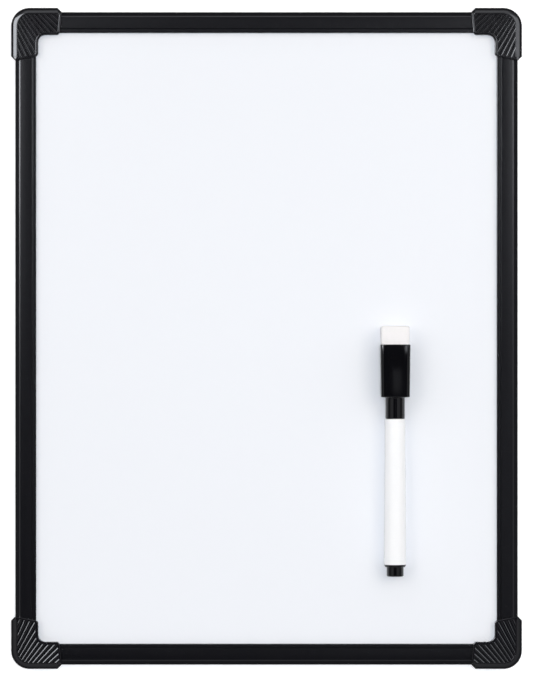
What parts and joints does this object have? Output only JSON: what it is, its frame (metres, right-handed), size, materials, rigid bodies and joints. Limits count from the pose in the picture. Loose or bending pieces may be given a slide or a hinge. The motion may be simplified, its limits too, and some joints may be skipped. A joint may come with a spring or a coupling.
{
  "type": "portable whiteboard",
  "caption": "Letter-size dry-erase board with plastic rails and ribbed corner caps, and a small magnetic marker with an eraser cap that lifts off the face.",
  "frame": {"origin": "under the middle of the board, on the plane that the backs of the corner caps rest on", "axes": "+X to the right across the board, +Y up the board, +Z out of the writing face"},
  "size_m": [0.216, 0.2794, 0.0193],
  "materials": {
    "lacquered_steel": "gloss",
    "fibreboard": "matte",
    "backing": "matte",
    "rail_pvc": "satin",
    "corner_abs": "satin",
    "black_pp": "gloss",
    "felt": "felted",
    "ferrite": "ground",
    "clear_pp": "gloss",
    "white_pp": "gloss",
    "holder_pp": "satin",
    "nib_fibre": "inked",
    "store_fibre": "inked",
    "film": "gloss"
  },
  "bodies": {
    "board": {"writing_sheet": "lacquered_steel", "core_panel": "fibreboard", "backing_sheet": "backing", "rail_top": "rail_pvc", "rail_bottom": "rail_pvc", "rail_left": "rail_pvc", "rail_right": "rail_pvc", "corner_cap_top_left": "corner_abs", "corner_cap_top_right": "corner_abs", "corner_cap_bottom_left": "corner_abs", "corner_cap_bottom_right": "corner_abs"},
    "cap": {"marker_cap": "black_pp", "eraser_pad": "felt", "cap_magnet": "ferrite", "inner_cap_seal": "clear_pp"},
    "barrel": {"marker_barrel": "white_pp", "end_plug": "black_pp", "nib_holder": "holder_pp", "nib": "nib_fibre", "ink_reservoir": "store_fibre", "reservoir_wrap": "film"}
  },
  "joints": [
    {"name": "marker_lift", "type": "slide", "parent": "board", "child": "cap", "axis": [0, 0, 1], "range_m": [0, 0.06]},
    {"name": "cap_pull", "type": "slide", "parent": "cap", "child": "barrel", "axis": [0, -1, 0], "range_m": [0, 0.026]}
  ]
}
